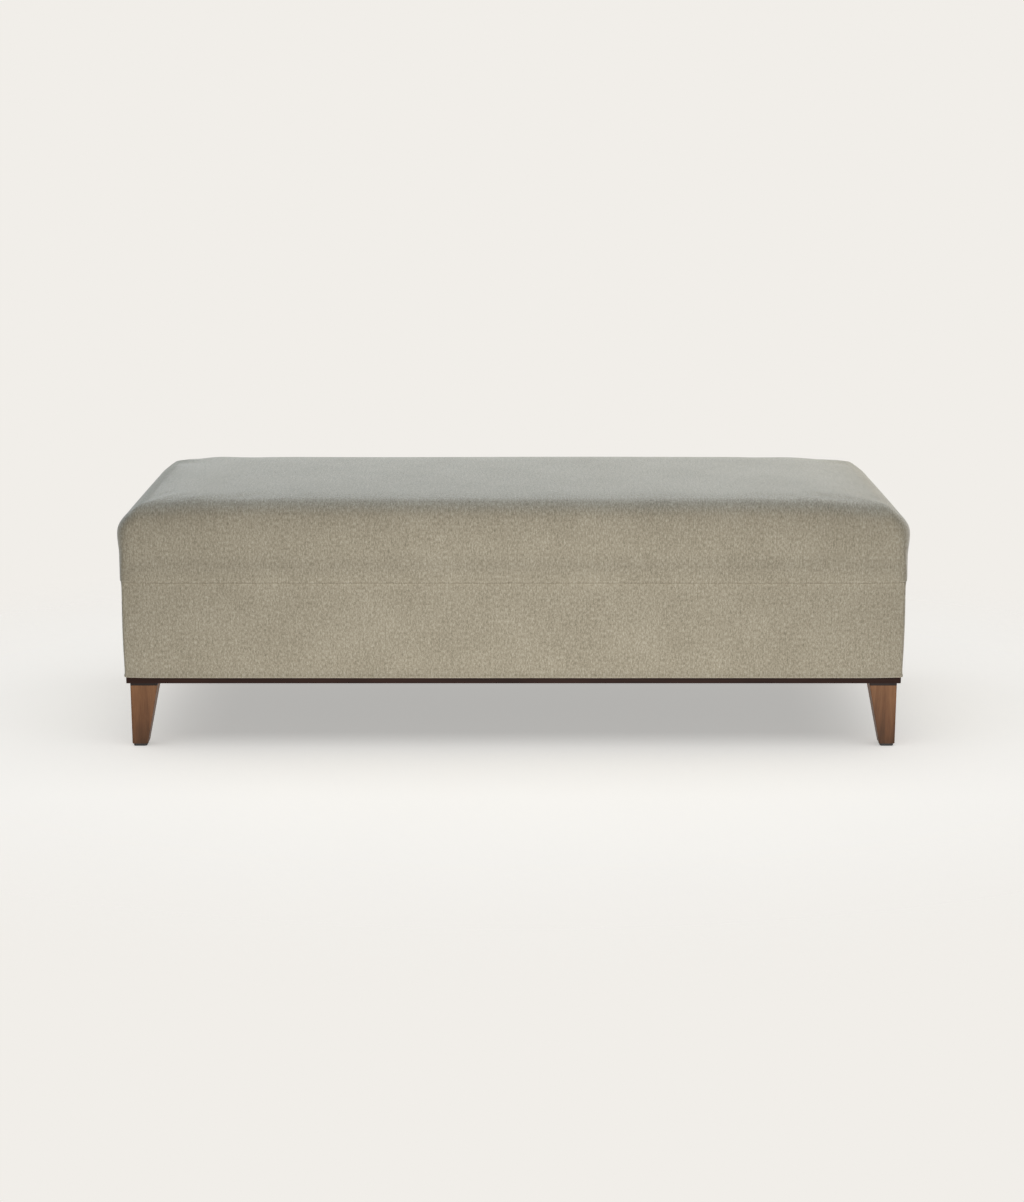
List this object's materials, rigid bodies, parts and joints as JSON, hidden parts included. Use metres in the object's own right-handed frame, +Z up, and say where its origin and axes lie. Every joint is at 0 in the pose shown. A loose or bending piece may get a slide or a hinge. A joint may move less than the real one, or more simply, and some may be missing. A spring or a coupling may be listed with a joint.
{
  "type": "storage ottoman bench",
  "caption": "Long upholstered storage ottoman with a thick padded hinged lid on gas struts, a fabric-covered box and tapered wooden legs.",
  "frame": {"origin": "on the floor under the centre of the bench", "axes": "+X along the length to the viewer's right, +Y to the hinged rear edge, +Z up"},
  "size_m": [1.5, 0.57, 0.482],
  "materials": {
    "cover_fabric": "matte",
    "padding": "matte",
    "foam": "matte",
    "lining_cloth": "matte",
    "dust_cloth": "matte",
    "plywood": "matte",
    "pine": "matte",
    "dark_wood": "satin",
    "leg_plate": "satin",
    "zinc_steel": "satin",
    "walnut": "satin",
    "glide_plastic": "matte",
    "bumper_rubber": "matte",
    "strut_black": "satin",
    "polished_rod": "polished",
    "bracket_steel": "satin"
  },
  "bodies": {
    "base": {"bin_floor": "plywood", "bin_lining_floor": "lining_cloth", "bin_lining_front": "lining_cloth", "bin_lining_left": "lining_cloth", "bin_lining_rear": "lining_cloth", "bin_lining_right": "lining_cloth", "box_cover_front": "cover_fabric", "box_cover_left": "cover_fabric", "box_cover_rear": "cover_fabric", "box_cover_right": "cover_fabric", "box_pad_front": "padding", "box_pad_left": "padding", "box_pad_rear": "padding", "box_pad_right": "padding", "box_panel_front": "plywood", "box_panel_left": "plywood", "box_panel_rear": "plywood", "box_panel_right": "plywood", "corner_blocks": "pine", "dust_cloth": "dust_cloth", "floor_stretcher": "pine", "glide_front_left": "glide_plastic", "glide_front_right": "glide_plastic", "glide_rear_left": "glide_plastic", "glide_rear_right": "glide_plastic", "hinge_base_leaves": "zinc_steel", "hinge_pins": "zinc_steel", "hinge_screws_base": "zinc_steel", "leg_bolts": "zinc_steel", "leg_front_left": "walnut", "leg_front_right": "walnut", "leg_plate_front_left": "leg_plate", "leg_plate_front_right": "leg_plate", "leg_plate_rear_left": "leg_plate", "leg_plate_rear_right": "leg_plate", "leg_rear_left": "walnut", "leg_rear_right": "walnut", "lid_bumpers": "bumper_rubber", "plinth_rail_front": "dark_wood", "plinth_rail_left": "dark_wood", "plinth_rail_rear": "dark_wood", "plinth_rail_right": "dark_wood", "strut_box_bracket_left": "bracket_steel", "strut_box_bracket_right": "bracket_steel", "strut_screws_box": "zinc_steel"},
    "lid": {"lid_cover": "cover_fabric", "lid_deck": "plywood", "lid_foam": "foam", "lid_underside_cloth": "lining_cloth", "lid_wadding": "padding", "hinge_lid_leaves": "zinc_steel", "hinge_screws_lid": "zinc_steel", "strut_lid_bracket_left": "bracket_steel", "strut_lid_bracket_right": "bracket_steel", "strut_screws_lid": "zinc_steel"},
    "strut_left": {"strut_cylinder_left": "strut_black"},
    "strut_piston_left": {"strut_rod_left": "polished_rod"},
    "strut_right": {"strut_cylinder_right": "strut_black"},
    "strut_piston_right": {"strut_rod_right": "polished_rod"}
  },
  "joints": [
    {"name": "lid_hinge", "type": "hinge", "parent": "base", "child": "lid", "pos_m": [0, 0.2824, 0.32575], "axis": [-1, 0, 0], "range_deg": [0, 80]},
    {"name": "strut_left_pivot", "type": "hinge", "parent": "base", "child": "strut_left", "pos_m": [-0.708, 0.2024, 0.18575], "axis": [-1, 0, 0], "range_deg": [0, 0.50128]},
    {"name": "strut_left_stroke", "type": "slide", "parent": "strut_left", "child": "strut_piston_left", "axis": [0, 0.3048, 0.9524], "range_m": [0, 0.0549]},
    {"name": "strut_right_pivot", "type": "hinge", "parent": "base", "child": "strut_right", "pos_m": [0.708, 0.2024, 0.18575], "axis": [-1, 0, 0], "range_deg": [0, 0.50128]},
    {"name": "strut_right_stroke", "type": "slide", "parent": "strut_right", "child": "strut_piston_right", "axis": [0, 0.3048, 0.9524], "range_m": [0, 0.0549]}
  ],
  "couplings": [
    {"joint": "strut_left_pivot", "follows": "lid_hinge", "ratio": 0.006266},
    {"joint": "strut_left_stroke", "follows": "lid_hinge", "m_per_rad": 0.039321},
    {"joint": "strut_right_pivot", "follows": "lid_hinge", "ratio": 0.006266},
    {"joint": "strut_right_stroke", "follows": "lid_hinge", "m_per_rad": 0.039321}
  ]
}
